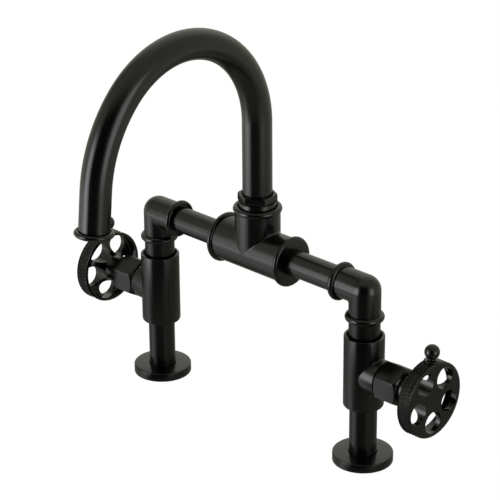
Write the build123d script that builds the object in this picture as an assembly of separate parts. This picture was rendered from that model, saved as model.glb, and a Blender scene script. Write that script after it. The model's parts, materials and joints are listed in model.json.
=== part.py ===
from build123d import *
import math
import os

# Bridge faucet in millimetres. X runs along the bridge, -Y points at the user, Z is up.
# The origin lies on the deck, midway between the two inlets.

# Clearances
seat_gap = 0.05          # radial gap of a fixed fit
running_gap = 0.06       # radial gap of a turning fit
end_gap = 0.3            # axial gap beside a turning piece

hex_half = 30.0          # degrees between a hexagon's corner and the middle of its flat

# Main layout
inlet_centres = 203.2
bridge_z = 131.5
handle_z = 69.4
deck_thickness = 25.0

# Deck flange, gasket and leg
flange_r = 21.6
flange_t = 6.4
flange_edge = 0.5
gasket_in_r = 11.4
gasket_out_r = 19.0
gasket_t = 1.2
leg_r = 9.8
leg_wall = 2.2
leg_seat = 3.0

# Threaded supply shank and what clamps it below the deck
shank_r = 10.4
shank_thread_len = 40.0
shank_bore_r = 5.5
tail_r = 9.9
tail_len = 15.0
spigot_len = 20.0
spigot_gap = 0.05
rubber_washer_r = 19.0
rubber_washer_t = 3.0
steel_washer_r = 17.5
steel_washer_t = 1.5
washer_gap = 0.3
nut_flats = 30.0
nut_t = 8.0

# Valve body
body_r = 14.4
body_bottom_z = 43.2
body_top_z = 97.8
body_bottom_round = 2.0
body_top_round = 0.7
leg_socket = 6.0
inlet_chamber_r = 9.0
inlet_chamber_h = 5.8
seat_port_r = 4.5
seat_port_depth = 12.0
transfer_r = 2.8
transfer_x = 8.6
outlet_port_r = 4.9
boss_r = 13.0
boss_reach = 17.6
nipple_seat_z = 86.0
body_rim_recess_r = 12.6
body_rim_recess_depth = 3.5

# Quarter-turn ceramic cartridge, measured outwards from its inner end
cartridge_r = 8.95
cartridge_depth = 5.1
seal_t = 1.0
seal_in_r = 4.7
disc_t = 3.0
disc_r = 7.4
disc_port_r = 1.7
disc_port_offset = 2.6
disc_play = 0.3
driver_r = 7.0
driver_t = 2.3
cartridge_nose = 6.0
window_r = 2.2
stem_r = 4.0
stem_end_x = 36.0
o_ring_groove_depth = 0.9
o_ring_groove_w = 1.2
o_ring_groove_x = 13.7
bonnet_flange_r = 11.6
bonnet_flange_t = 1.2

# Handle: hexagonal hub, five-hole wheel and ball knob
hub_corner_r = 15.2
hub_hex_len = 20.2
hub_end_r = 12.1
hub_end_chamfer = 2.4
hub_neck_r = 10.4
hub_neck_len = 10.7
hub_spigot_r = 6.9
hub_spigot_len = 9.8
set_screw_r = 2.0
set_screw_x = 29.5
set_screw_socket_r = 1.0
set_screw_socket_depth = 2.0
wheel_r = 27.6
wheel_w = 10.1
wheel_edge = 0.8
wheel_rim_t = 2.6
wheel_rim_slope = 0.6
wheel_web_t = 3.9
wheel_web_r = 20.5
wheel_flare_r = 13.5
wheel_flare_t = 6.8
wheel_holes = 5
wheel_hole_r = 8.0
wheel_hole_circle_r = 16.9
wheel_turn = 2.8         # degrees that the wheel and its knob lean back from upright
knob_x_shift = 0.4
knob_ball_r = 5.35
knob_ball_height = 6.9
knob_collar_r = 5.4
knob_collar_h = 1.3
knob_collar_round = 0.5
knob_neck_r = 2.6
knob_stud_r = 1.5
knob_stud_len = 2.2

# Outlet nipple and elbow
nipple_r = 11.1
nipple_bore_r = 6.5
nipple_washer_t = 1.0
nipple_spigot_r = 8.95
nipple_spigot_len = 7.3
elbow_r = 11.3
elbow_bore_r = 7.5
elbow_bead_r = 13.9
elbow_bead_minor = 2.5
elbow_foot_z = 109.3
elbow_reach = 24.1
elbow_socket = 9.0
elbow_recess_r = 12.2
elbow_recess_depth = 2.6

# Bridge tubes and tee
bridge_r = 9.525
bridge_wall = 1.4
tee_r = 16.35
tee_half_len = 34.3
tee_stop = 15.0
tee_bead_r = 18.4
tee_bead_minor = 2.1
tee_waterway_r = 8.5
bridge_seal_x = 22.0
bridge_seal_minor = 0.68
bridge_seal_groove = 1.42
tee_top_z = 165.6
tee_top_bead_r = 17.6
tee_top_bead_minor = 2.4
tee_top_recess_r = 14.5
tee_top_recess_depth = 3.4
spout_shelf_z = 142.0
spout_bore_r = 12.6

# Spout nut, swivel and spout
spout_nut_corner_r = 14.3
spout_nut_turn = 5.0
spout_nut_h = 12.5
spout_nut_hex_h = 5.8
spout_nut_collar_r = 13.6
spout_nut_end_r = 13.7
spout_nut_chamfer = 0.6
spout_nut_recess_r = 11.4
spout_nut_recess_depth = 3.0
spout_nut_skirt = 6.2
glide_washer_t = 2.0
spout_r = 10.7
spout_wall = 1.1
swivel_groove_depth = 0.85
swivel_groove_w = 1.6
swivel_o_ring_minor = 0.38
swivel_o_ring_zs = (3.6, 8.2)
spout_bend_z = 228.3
spout_bend_r = 72.8
spout_bend_angle = 135.1
spout_ease_r = 95.8
spout_ease_angle = 39.3
spout_seat_drop = 0.4      # the tube's end below the middle of the outlet ring

# Outlet ring and aerator
outlet_ring_r = 13.6
outlet_ring_minor = 2.0
outlet_ring_z = 192.9
outlet_ring_recess_r = 11.6
outlet_ring_recess_depth = 0.8
aerator_head_r = 9.9
aerator_r = 9.5
aerator_len = 8.8
aerator_wall = 1.1
aerator_lip_r = 7.6
aerator_lip_t = 1.2
screen_t = 1.6
screen_hole_r = 0.7
screen_rings = 3
screen_pitch = 2.3
aerator_washer_t = 1.4
aerator_washer_in_r = 6.8

# Sizes that follow from the ones above
half = inlet_centres / 2
leg_bore_r = leg_r - leg_wall
spigot_r = leg_bore_r - spigot_gap
leg_bottom_z = flange_t - leg_seat
leg_top_z = body_bottom_z + leg_socket
stack_bottom_z = -deck_thickness - rubber_washer_t - steel_washer_t
seal_x = -cartridge_depth
fixed_disc_x = seal_x + seal_t
moving_disc_x = fixed_disc_x + disc_t
driver_x = moving_disc_x + disc_t
pocket_end_x = driver_x + driver_t + end_gap
cartridge_end_x = pocket_end_x + cartridge_nose
bonnet_end_x = boss_reach + bonnet_flange_t
hub_x = bonnet_end_x + end_gap
hub_hex_end_x = hub_x + hub_hex_len
wheel_seat_x = hub_hex_end_x + hub_neck_len
hub_end_x = wheel_seat_x + hub_spigot_len
wheel_front_x = hub_end_x + wheel_web_t
wheel_back_x = wheel_front_x - wheel_w
knob_x = wheel_back_x + wheel_w / 2 + knob_x_shift
nipple_bottom_z = nipple_seat_z + nipple_washer_t
nipple_top_z = elbow_foot_z + nipple_spigot_len
elbow_socket_x = elbow_reach - elbow_socket
bridge_tube_end = half - elbow_socket_x
bridge_bore_r = bridge_r - bridge_wall
spout_bore_top_z = tee_top_z - tee_top_recess_depth
nut_top_z = spout_bore_top_z + spout_nut_h
nut_hex_z = nut_top_z - spout_nut_hex_h
spout_bottom_z = spout_shelf_z + glide_washer_t
swivel_ring_r = spout_bore_r - running_gap
swivel_ring_h = spout_bore_top_z - spout_nut_skirt - end_gap - spout_bottom_z
spout_tube_bore_r = spout_r - spout_wall
spout_tip_z = outlet_ring_z - spout_seat_drop
spout_end_angle = spout_bend_angle + spout_ease_angle
spout_clear_r = spout_r + running_gap

up = (Align.CENTER, Align.CENTER, Align.MIN)
to_x_axis = Rot(0, 90, 0)


def rod(radius, low, high):
    """Solid cylinder about Z from height low to height high."""
    return Pos(0, 0, low) * Cylinder(radius, high - low, align=up)


def ring(outer_r, inner_r, low, high):
    """Tube or ring about Z."""
    return rod(outer_r, low, high) - rod(inner_r, low, high)


def hexagon(corner_r, low, high, turn=0.0):
    """Hexagonal bar about Z."""
    face = RegularPolygon(corner_r, 6, rotation=turn)
    return Pos(0, 0, low) * extrude(face, high - low)


def turned(points):
    """Solid turned about Z from a closed outline of (radius, height) points."""
    outline = Polyline(*[(r, 0, z) for r, z in points], close=True)
    return revolve(make_face(outline), Axis.Z, 360)


def bead(outer_r, minor_r, height):
    """Half-round bead about Z, centred at a height."""
    return Pos(0, 0, height) * Torus(outer_r - minor_r, minor_r)


def along_x(shape, height=0.0):
    """Turn a shape about Z into one about the X axis, lifted to a height."""
    return Pos(0, 0, height) * to_x_axis * shape


def deck_flange():
    return turned([
        (spigot_r + seat_gap, 0), (gasket_in_r, 0), (gasket_in_r, gasket_t),
        (gasket_out_r, gasket_t), (gasket_out_r, 0), (flange_r, 0),
        (flange_r, flange_t - flange_edge), (flange_r - flange_edge, flange_t),
        (leg_r + seat_gap, flange_t), (leg_r + seat_gap, leg_bottom_z),
        (spigot_r + seat_gap, leg_bottom_z)])


def flange_gasket():
    return ring(gasket_out_r - seat_gap, gasket_in_r + seat_gap, 0, gasket_t)


def supply_shank():
    bottom = -shank_thread_len - tail_len
    return turned([
        (shank_bore_r, bottom), (tail_r, bottom), (tail_r, -shank_thread_len),
        (shank_r, -shank_thread_len), (shank_r, 0), (spigot_r, 0),
        (spigot_r, spigot_len), (shank_bore_r, spigot_len)])


def mounting_washer():
    top = -deck_thickness
    return ring(rubber_washer_r, shank_r + washer_gap, top - rubber_washer_t, top)


def clamp_washer():
    return ring(steel_washer_r, shank_r + washer_gap, stack_bottom_z, stack_bottom_z + steel_washer_t)


def mounting_nut():
    bottom = stack_bottom_z - nut_t
    corner_r = nut_flats / 2 / math.cos(math.radians(hex_half))
    nut = hexagon(corner_r, bottom, stack_bottom_z)
    return nut - rod(shank_r + seat_gap, bottom, stack_bottom_z)


def leg():
    return ring(leg_r, leg_bore_r, leg_bottom_z, leg_top_z)


def valve_body():
    """Upright sleeve with a side boss for the cartridge, a port from below and a port to the top."""
    sleeve = rod(body_r, body_bottom_z, body_top_z)
    circles = sleeve.edges().filter_by(GeomType.CIRCLE).sort_by(Axis.Z)
    sleeve = fillet(circles[0], body_bottom_round)
    circles = sleeve.edges().filter_by(GeomType.CIRCLE).sort_by(Axis.Z)
    sleeve = fillet(circles[-1], body_top_round)
    sleeve += along_x(rod(boss_r, 0, boss_reach), handle_z)
    sleeve -= rod(leg_r + seat_gap, body_bottom_z, leg_top_z)
    sleeve -= rod(inlet_chamber_r, leg_top_z, leg_top_z + inlet_chamber_h)
    sleeve -= Pos(-transfer_x, 0, 0) * rod(transfer_r, leg_top_z, handle_z)
    sleeve -= along_x(rod(seat_port_r, -seat_port_depth, seal_x), handle_z)
    sleeve -= along_x(rod(cartridge_r + seat_gap, seal_x, boss_reach), handle_z)
    sleeve -= rod(outlet_port_r, handle_z, nipple_seat_z)
    sleeve -= rod(nipple_r + seat_gap, nipple_seat_z, body_top_z)
    sleeve -= rod(body_rim_recess_r, body_top_z - body_rim_recess_depth, body_top_z)
    return sleeve


def seat_seal():
    return along_x(ring(disc_r, seal_in_r, seal_x, fixed_disc_x), handle_z)


def ported_disc(low, port_turn):
    """Ceramic disc with two water ports."""
    disc = rod(disc_r - seat_gap, low, low + disc_t)
    for side in (0, 180):
        port = Pos(disc_port_offset, 0, 0) * rod(disc_port_r, low, low + disc_t)
        disc -= Rot(0, 0, port_turn + side) * port
    return along_x(disc, handle_z)


def fixed_disc():
    return ported_disc(fixed_disc_x, 90)


def moving_disc():
    return ported_disc(moving_disc_x, 0)


def cartridge_body():
    """Brass shell round the discs, open at its inner end, with two outlet windows."""
    shell = rod(cartridge_r, fixed_disc_x, cartridge_end_x)
    shell -= rod(disc_r, fixed_disc_x, moving_disc_x)
    shell -= rod(disc_r + disc_play, moving_disc_x, pocket_end_x)
    shell -= rod(stem_r + running_gap, pocket_end_x, cartridge_end_x)
    shell = along_x(shell, handle_z)
    window_x = driver_x + driver_t / 2
    return shell - Pos(window_x, 0, 0) * rod(window_r, handle_z - body_r, handle_z + body_r)


def cartridge_stem():
    stem = rod(driver_r, driver_x, driver_x + driver_t)
    stem += rod(stem_r, driver_x + driver_t, stem_end_x)
    low = o_ring_groove_x - o_ring_groove_w / 2
    stem -= ring(stem_r + seat_gap, stem_r - o_ring_groove_depth, low, low + o_ring_groove_w)
    return along_x(stem, handle_z)


def stem_o_ring():
    minor = o_ring_groove_depth / 2 - seat_gap / 2
    o_ring = Pos(0, 0, o_ring_groove_x) * Torus(stem_r - o_ring_groove_depth / 2, minor)
    return along_x(o_ring, handle_z)


def cartridge_bonnet():
    """Gland nut that holds the cartridge in the boss and guides the stem."""
    bonnet = rod(cartridge_r, cartridge_end_x, boss_reach)
    bonnet += rod(bonnet_flange_r, boss_reach, bonnet_end_x)
    bonnet -= rod(stem_r + running_gap, cartridge_end_x, bonnet_end_x)
    return along_x(bonnet, handle_z)


def handle_hub():
    """Hexagonal hub with turned ends, a round neck and a spigot for the wheel."""
    hexagonal = hexagon(hub_corner_r, hub_x, hub_hex_end_x)
    blank = turned([
        (0, hub_x), (hub_end_r, hub_x), (hub_corner_r, hub_x + hub_end_chamfer),
        (hub_corner_r, hub_hex_end_x - hub_end_chamfer), (hub_end_r, hub_hex_end_x), (0, hub_hex_end_x)])
    hub = hexagonal & blank
    hub += rod(hub_neck_r, hub_hex_end_x, wheel_seat_x)
    hub += rod(hub_spigot_r, wheel_seat_x, hub_end_x)
    hub -= rod(stem_r + seat_gap, hub_x, stem_end_x + end_gap)
    hub = along_x(hub, handle_z)
    return hub - Pos(set_screw_x, 0, handle_z) * Rot(-90, 0, 0) * rod(set_screw_r + seat_gap, 0, hub_corner_r)


def set_screw():
    flat_y = hub_corner_r * math.cos(math.radians(hex_half))
    screw = rod(set_screw_r, stem_r, flat_y - end_gap)
    socket = hexagon(set_screw_socket_r, flat_y - end_gap - set_screw_socket_depth, flat_y)
    return Pos(set_screw_x, 0, handle_z) * Rot(-90, 0, 0) * (screw - socket)


def wheel_blank():
    """Turned blank of the wheel: flat front, dished back, thick rim and a boss on the hub."""
    back_rim_r = wheel_r - wheel_rim_t
    web_x = wheel_front_x - wheel_web_t
    bore_r = hub_spigot_r + seat_gap
    lines = Polyline(
        (wheel_web_r, 0, web_x), (back_rim_r - wheel_rim_slope, 0, web_x - wheel_rim_slope),
        (back_rim_r, 0, wheel_back_x), (wheel_r - wheel_edge, 0, wheel_back_x),
        (wheel_r, 0, wheel_back_x + wheel_edge), (wheel_r, 0, wheel_front_x - wheel_edge),
        (wheel_r - wheel_edge, 0, wheel_front_x), (0, 0, wheel_front_x), (0, 0, hub_end_x),
        (bore_r, 0, hub_end_x), (bore_r, 0, wheel_seat_x), (hub_neck_r, 0, wheel_seat_x))
    flare = ThreePointArc(
        (hub_neck_r, 0, wheel_seat_x), (wheel_flare_r, 0, wheel_front_x - wheel_flare_t),
        (wheel_web_r, 0, web_x))
    return revolve(make_face(lines + flare), Axis.Z, 360)


def on_rim(shape):
    """Move a shape about Z from the wheel's centre to the knob's place on the rim."""
    return Pos(knob_x, 0, handle_z) * Rot(-wheel_turn, 0, 0) * shape


def handle_wheel():
    wheel = wheel_blank()
    for hole in range(wheel_holes):
        bore = Pos(wheel_hole_circle_r, 0, 0) * rod(wheel_hole_r, wheel_seat_x, wheel_front_x)
        wheel -= Rot(0, 0, hole * 360 / wheel_holes - wheel_turn) * bore
    stud_hole = rod(knob_stud_r + seat_gap, wheel_r - knob_stud_len, wheel_r + knob_collar_h)
    return along_x(wheel, handle_z) - on_rim(stud_hole)


def wheel_knob():
    """Ball on a short neck and a collar, screwed into the rim by a stud."""
    top = wheel_r + knob_collar_h
    ball_z = wheel_r + knob_ball_height
    foot = wheel_r - knob_collar_r * knob_collar_r / wheel_r
    collar = rod(knob_collar_r, foot, top)
    collar = fillet(collar.edges().filter_by(GeomType.CIRCLE).sort_by(Axis.Z)[-1], knob_collar_round)
    collar -= Pos(-knob_collar_r, 0, 0) * to_x_axis * rod(wheel_r + seat_gap, 0, 2 * knob_collar_r)
    knob = collar + rod(knob_neck_r, top - knob_collar_h / 2, ball_z)
    knob += Pos(0, 0, ball_z) * Sphere(knob_ball_r)
    knob += rod(knob_stud_r, wheel_r - knob_stud_len, top)
    return on_rim(knob)


def nipple_washer():
    return ring(nipple_r, nipple_bore_r, nipple_seat_z, nipple_bottom_z)


def outlet_nipple():
    nipple = rod(nipple_r, nipple_bottom_z, elbow_foot_z)
    nipple += rod(nipple_spigot_r, elbow_foot_z, nipple_top_z)
    return nipple - rod(nipple_bore_r, nipple_bottom_z, nipple_top_z)


def elbow():
    """Elbow with a ball corner and a half-round bead at each end; it opens down and towards the tee."""
    foot = elbow_foot_z + elbow_bead_minor
    side = elbow_reach - elbow_bead_minor
    bead_core_r = elbow_bead_r - elbow_bead_minor
    body = rod(elbow_r, foot, bridge_z)
    body += rod(bead_core_r, elbow_foot_z, foot)
    body += bead(elbow_bead_r, elbow_bead_minor, foot)
    body += Pos(0, 0, bridge_z) * Sphere(elbow_r)
    body += along_x(rod(elbow_r, -side, 0), bridge_z)
    body += along_x(rod(bead_core_r, -elbow_reach, -side), bridge_z)
    body += along_x(bead(elbow_bead_r, elbow_bead_minor, -side), bridge_z)
    body -= rod(nipple_spigot_r + seat_gap, elbow_foot_z, nipple_top_z)
    body -= rod(elbow_bore_r, nipple_top_z, bridge_z)
    body -= Pos(0, 0, bridge_z) * Sphere(elbow_bore_r)
    body -= along_x(rod(elbow_bore_r, -elbow_reach, 0), bridge_z)
    body -= along_x(rod(bridge_r + seat_gap, -elbow_reach, -elbow_socket_x), bridge_z)
    return body - along_x(rod(elbow_recess_r, -elbow_reach, elbow_recess_depth - elbow_reach), bridge_z)


def bridge_tube():
    tube = ring(bridge_r, bridge_bore_r, tee_stop, bridge_tube_end)
    return Pos(-half, 0, 0) * along_x(tube, bridge_z)


def bridge_seal():
    seal_r = bridge_r + seat_gap + bridge_seal_minor
    seal = Pos(0, 0, bridge_seal_x) * Torus(seal_r, bridge_seal_minor)
    return Pos(-half, 0, 0) * along_x(seal, bridge_z)


def tee():
    """Barrel with beaded ends and an upright branch whose top holds the spout nut."""
    end = tee_half_len - tee_bead_minor
    top = tee_top_z - tee_top_bead_minor
    barrel = rod(tee_r, -end, end)
    barrel += ring(tee_bead_r - tee_bead_minor, bridge_r, -tee_half_len, -end)
    barrel += ring(tee_bead_r - tee_bead_minor, bridge_r, end, tee_half_len)
    for place in (-end, end):
        barrel += bead(tee_bead_r, tee_bead_minor, place)
    body = along_x(barrel, bridge_z)
    body += rod(tee_r, bridge_z, top)
    body += rod(tee_top_bead_r - tee_top_bead_minor, top, tee_top_z)
    body += bead(tee_top_bead_r, tee_top_bead_minor, top)
    groove_r = bridge_r + seat_gap + bridge_seal_groove
    groove_half = bridge_seal_minor + bridge_seal_minor / 2
    cuts = rod(tee_waterway_r, -tee_stop, tee_stop)
    for side in (-1, 1):
        near, far = sorted((side * tee_stop, side * tee_half_len))
        cuts += rod(bridge_r + seat_gap, near, far)
        cuts += rod(groove_r, side * bridge_seal_x - groove_half, side * bridge_seal_x + groove_half)
    body -= along_x(cuts, bridge_z)
    body -= rod(tee_waterway_r, bridge_z, spout_shelf_z)
    body -= rod(spout_bore_r, spout_shelf_z, spout_bore_top_z)
    return body - rod(tee_top_recess_r, spout_bore_top_z, tee_top_z)


def glide_washer():
    return ring(spout_bore_r - seat_gap, spout_tube_bore_r, spout_shelf_z, spout_bottom_z)


def spout_nut():
    """Nut with a hexagon on a round collar; it screws into the tee and holds the swivel ring down."""
    blank = turned([
        (0, nut_hex_z), (spout_nut_corner_r, nut_hex_z),
        (spout_nut_corner_r, nut_top_z - spout_nut_chamfer), (spout_nut_end_r, nut_top_z), (0, nut_top_z)])
    nut = blank & hexagon(spout_nut_corner_r, nut_hex_z, nut_top_z, hex_half + spout_nut_turn)
    nut += rod(spout_nut_collar_r, spout_bore_top_z, nut_hex_z)
    nut += rod(spout_bore_r - seat_gap, spout_bore_top_z - spout_nut_skirt, spout_bore_top_z)
    nut -= rod(spout_clear_r, spout_bore_top_z - spout_nut_skirt, nut_top_z)
    return nut - rod(spout_nut_recess_r, nut_top_z - spout_nut_recess_depth, nut_top_z)


def swivel_ring():
    """Ring brazed on the spout's foot, with two O-ring grooves."""
    body = ring(swivel_ring_r, spout_r + seat_gap, spout_bottom_z, spout_bottom_z + swivel_ring_h)
    groove_r = swivel_ring_r - swivel_groove_depth
    for groove in swivel_o_ring_zs:
        low = spout_bottom_z + groove - swivel_groove_w / 2
        body -= ring(swivel_ring_r + seat_gap, groove_r, low, low + swivel_groove_w)
    return body


def spout_o_rings():
    centre_r = swivel_ring_r - swivel_groove_depth + seat_gap + swivel_o_ring_minor
    rings = [Pos(0, 0, spout_bottom_z + z) * Torus(centre_r, swivel_o_ring_minor) for z in swivel_o_ring_zs]
    return Compound(children=rings)


def spout_points():
    """Ends of the two bends and middle of the outlet ring, as (y, z) on the spout's centre line."""
    turn = math.radians(spout_bend_angle)
    end_turn = math.radians(spout_end_angle)
    bend_y = spout_bend_r * (math.cos(turn) - 1)
    bend_z = spout_bend_z + spout_bend_r * math.sin(turn)
    ease_y = bend_y + spout_ease_r * (math.cos(end_turn) - math.cos(turn))
    ease_z = bend_z + spout_ease_r * (math.sin(end_turn) - math.sin(turn))
    outlet_y = ease_y + (ease_z - outlet_ring_z) * math.tan(end_turn)
    return (bend_y, bend_z), (ease_y, ease_z), (outlet_y, outlet_ring_z)


def spout_path():
    """Riser, main bend, easing bend and a short straight end that leans a little outwards."""
    bend_end, ease_end, outlet = spout_points()
    end_turn = math.radians(spout_end_angle)
    end_y = outlet[0] - spout_seat_drop * math.sin(end_turn)
    end_z = outlet[1] + spout_seat_drop * math.cos(end_turn)
    riser = Line((0, 0, spout_bottom_z), (0, 0, spout_bend_z))
    bend = TangentArc((0, 0, spout_bend_z), (0, *bend_end), tangent=(0, 0, 1))
    ease = TangentArc((0, *bend_end), (0, *ease_end), tangent=bend % 1)
    drop = Line((0, *ease_end), (0, end_y, end_z))
    return Wire([riser, bend, ease, drop])


def spout_tube():
    section = Circle(spout_r) - Circle(spout_tube_bore_r)
    return sweep(Pos(0, 0, spout_bottom_z) * section, path=spout_path())


def outlet_ring():
    core_r = outlet_ring_r - outlet_ring_minor
    low = outlet_ring_z - outlet_ring_minor
    high = outlet_ring_z + outlet_ring_minor
    body = rod(core_r, low, high) + bead(outlet_ring_r, outlet_ring_minor, outlet_ring_z)
    body -= rod(aerator_head_r + seat_gap, low, spout_tip_z)
    body -= rod(spout_r + seat_gap, spout_tip_z, high)
    return body - rod(outlet_ring_recess_r, high - outlet_ring_recess_depth, high)


def aerator_housing():
    low = outlet_ring_z - outlet_ring_minor + end_gap
    shoulder = spout_tip_z - seat_gap
    inner_r = aerator_r - aerator_wall
    return turned([
        (aerator_lip_r, low), (aerator_head_r, low), (aerator_head_r, shoulder), (aerator_r, shoulder),
        (aerator_r, low + aerator_len), (inner_r, low + aerator_len), (inner_r, low + aerator_lip_t),
        (aerator_lip_r, low + aerator_lip_t)])


def aerator_screen():
    low = outlet_ring_z - outlet_ring_minor + end_gap + aerator_lip_t
    screen = rod(aerator_r - aerator_wall - seat_gap, low, low + screen_t)
    hole = rod(screen_hole_r, low, low + screen_t)
    screen -= hole
    for circle in range(1, screen_rings + 1):
        for step in range(6 * circle):
            screen -= Rot(0, 0, step * 60 / circle) * Pos(circle * screen_pitch, 0, 0) * hole
    return screen


def aerator_washer():
    low = outlet_ring_z - outlet_ring_minor + end_gap + aerator_len
    return ring(aerator_r, aerator_washer_in_r, low, low + aerator_washer_t)


def column_pieces():
    """Pieces of one inlet column, about the inlet's own axis, with the handle on its +X side."""
    makers = (
        deck_flange, flange_gasket, supply_shank, mounting_washer, clamp_washer, mounting_nut, leg,
        valve_body, seat_seal, fixed_disc, moving_disc, cartridge_body, cartridge_stem, stem_o_ring,
        cartridge_bonnet, handle_hub, set_screw, handle_wheel, wheel_knob, nipple_washer,
        outlet_nipple, elbow, bridge_tube, bridge_seal)
    return {maker.__name__: Pos(half, 0, 0) * maker() for maker in makers}


def middle_pieces():
    """Pieces about the tee's upright axis."""
    makers = (tee, glide_washer, spout_nut, swivel_ring, spout_o_rings, spout_tube)
    return {maker.__name__: maker() for maker in makers}


def tip_pieces():
    """Pieces at the spout's outlet, leaning with the end of the tube."""
    makers = (outlet_ring, aerator_housing, aerator_screen, aerator_washer)
    outlet_y, outlet_z = spout_points()[-1]
    place = Pos(0, outlet_y, outlet_z) * Rot(spout_end_angle - 180, 0, 0) * Pos(0, 0, -outlet_z)
    return {maker.__name__: place * maker() for maker in makers}


def main():
    os.makedirs("parts", exist_ok=True)
    pieces = {**middle_pieces(), **tip_pieces()}
    for name, piece in column_pieces().items():
        pieces["right_" + name] = piece
        pieces["left_" + name] = mirror(piece, about=Plane.YZ)
    for name, piece in pieces.items():
        export_step(piece, f"parts/{name}.step")


main()
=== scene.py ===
import json
import math

import bmesh
import bpy
from mathutils import Matrix, Vector


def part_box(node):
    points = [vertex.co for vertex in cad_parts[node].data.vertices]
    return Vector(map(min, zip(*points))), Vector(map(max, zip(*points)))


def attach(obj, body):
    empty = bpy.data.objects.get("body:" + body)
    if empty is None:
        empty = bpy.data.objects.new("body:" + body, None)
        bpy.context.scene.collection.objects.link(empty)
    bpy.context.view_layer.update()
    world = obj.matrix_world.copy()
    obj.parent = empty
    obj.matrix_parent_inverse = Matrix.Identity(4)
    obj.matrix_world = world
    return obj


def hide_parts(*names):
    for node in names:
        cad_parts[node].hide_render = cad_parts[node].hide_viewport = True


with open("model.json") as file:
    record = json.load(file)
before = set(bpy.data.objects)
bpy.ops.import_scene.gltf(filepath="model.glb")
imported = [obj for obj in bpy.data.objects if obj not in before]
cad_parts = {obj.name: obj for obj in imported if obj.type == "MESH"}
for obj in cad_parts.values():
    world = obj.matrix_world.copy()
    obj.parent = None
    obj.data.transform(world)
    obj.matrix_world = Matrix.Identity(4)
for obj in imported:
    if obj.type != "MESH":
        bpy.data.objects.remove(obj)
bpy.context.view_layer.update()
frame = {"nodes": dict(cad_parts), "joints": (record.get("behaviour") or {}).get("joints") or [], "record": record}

# All shapes are written in millimetres and made in metres.
MM = 0.001

# Places from the frame
right_joint = next(j for j in frame["joints"] if j["name"] == "right_valve_turn")
HALF = right_joint["pos_m"][0] / MM
HANDLE_Z = right_joint["pos_m"][2] / MM


def span(node, axis):
    """Lowest and highest millimetre of a node along an axis of the frame."""
    low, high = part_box(node)
    return low[axis] / MM, high[axis] / MM


def width(node, axis):
    """Size of a node along an axis of the frame, in millimetres."""
    low, high = span(node, axis)
    return high - low


def middle(node, axis):
    """Middle of a node along an axis of the frame, in millimetres."""
    return sum(span(node, axis)) / 2


BRIDGE_Z = middle("right_bridge_tube", 2)

# Shapes

# Sides of a round shape that has no number of its own
SIDES = 128
# Points closer than this are one point, and faces thinner than this are left out
MERGE = 0.0005
SLIVER = 0.0002
# Play between pieces that fit in each other
PLAY = 0.05
# How far hidden ends reach into their neighbours
OVERLAP = 1.0
# Small chamfer of machined edges
EDGE_BREAK = 0.25
# Fillets are this much larger than the rolling ball, so that they meet both surfaces
FILLET_BITE = 1.003
# Edges that turn by more than this many degrees are shaded sharp
SHARP_ANGLE = 32.0


def arc(x, y, radius, start, end, steps=8):
    """Points of an arc round (x, y), from one angle to another in degrees."""
    angles = [math.radians(start + (end - start) * k / steps) for k in range(steps + 1)]
    return [(x + radius * math.cos(a), y + radius * math.sin(a)) for a in angles]


def rounded(corners, steps=4):
    """Outline through the (x, y, radius) corners of a closed shape, with an arc at each corner."""
    points = []
    for i, (x, y, radius) in enumerate(corners):
        here = Vector((x, y, 0))
        if not radius:
            points.append((x, y))
            continue
        back = (Vector((*corners[i - 1][:2], 0)) - here).normalized()
        ahead = (Vector((*corners[(i + 1) % len(corners)][:2], 0)) - here).normalized()
        half = back.angle(ahead) / 2
        centre = here + (back + ahead).normalized() * radius / math.sin(half)
        start = here + back * radius / math.tan(half) - centre
        end = here + ahead * radius / math.tan(half) - centre
        for k in range(steps + 1):
            spot = centre + start.slerp(end, k / steps) * radius
            points.append((spot.x, spot.y))
    return points


def grid(rows, wrap_rows=False):
    """Points and faces of a net whose rows are closed rings with one number of points."""
    count = len(rows[0])
    points = [tuple(p) for row in rows for p in row]
    faces = []
    for i in range(len(rows) if wrap_rows else len(rows) - 1):
        for j in range(count):
            a, b = i * count, (i + 1) % len(rows) * count
            k = (j + 1) % count
            faces.append((a + j, a + k, b + k, b + j))
    return points, faces


def round_turns(sides):
    """Angles of equal steps once round."""
    return [2 * math.pi * j / sides for j in range(sides)]


def turned(outline, sides=SIDES):
    """Solid turned about Z from a closed outline of (radius, height) points."""
    turns = round_turns(sides)
    rows = [[(r * math.cos(t), r * math.sin(t), z) for t in turns] for r, z in outline]
    return grid(rows, wrap_rows=True)


def prism(corner_radius, low, high, turn=0.0):
    """Hexagonal bar about Z."""
    turns = [math.radians(turn + 60 * k) for k in range(6)]
    ring = [(corner_radius * math.cos(t), corner_radius * math.sin(t)) for t in turns]
    points = [(x, y, z) for z in (low, high) for x, y in ring]
    sides = [(k, (k + 1) % 6, (k + 1) % 6 + 6, k + 6) for k in range(6)]
    return points, [*sides, tuple(range(5, -1, -1)), tuple(range(6, 12))]


def moved(shape, matrix):
    """The shape in another place."""
    points, faces = shape
    return [tuple(matrix @ Vector(p)) for p in points], faces


def joined(*shapes):
    """Several shapes as one, each still closed by itself."""
    points, faces = [], []
    for more, sides in shapes:
        faces += [tuple(i + len(points) for i in side) for side in sides]
        points += more
    return points, faces


def mesh_of(name, shape):
    """Closed mesh of a shape, with doubled points merged and faces turned outwards."""
    points, faces = shape
    mesh = bpy.data.meshes.new(name)
    mesh.from_pydata(points, [], faces)
    work = bmesh.new()
    work.from_mesh(mesh)
    bmesh.ops.remove_doubles(work, verts=work.verts, dist=MERGE)
    bmesh.ops.dissolve_degenerate(work, edges=work.edges, dist=SLIVER)
    bmesh.ops.recalc_face_normals(work, faces=work.faces)
    work.to_mesh(mesh)
    work.free()
    return mesh


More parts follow.
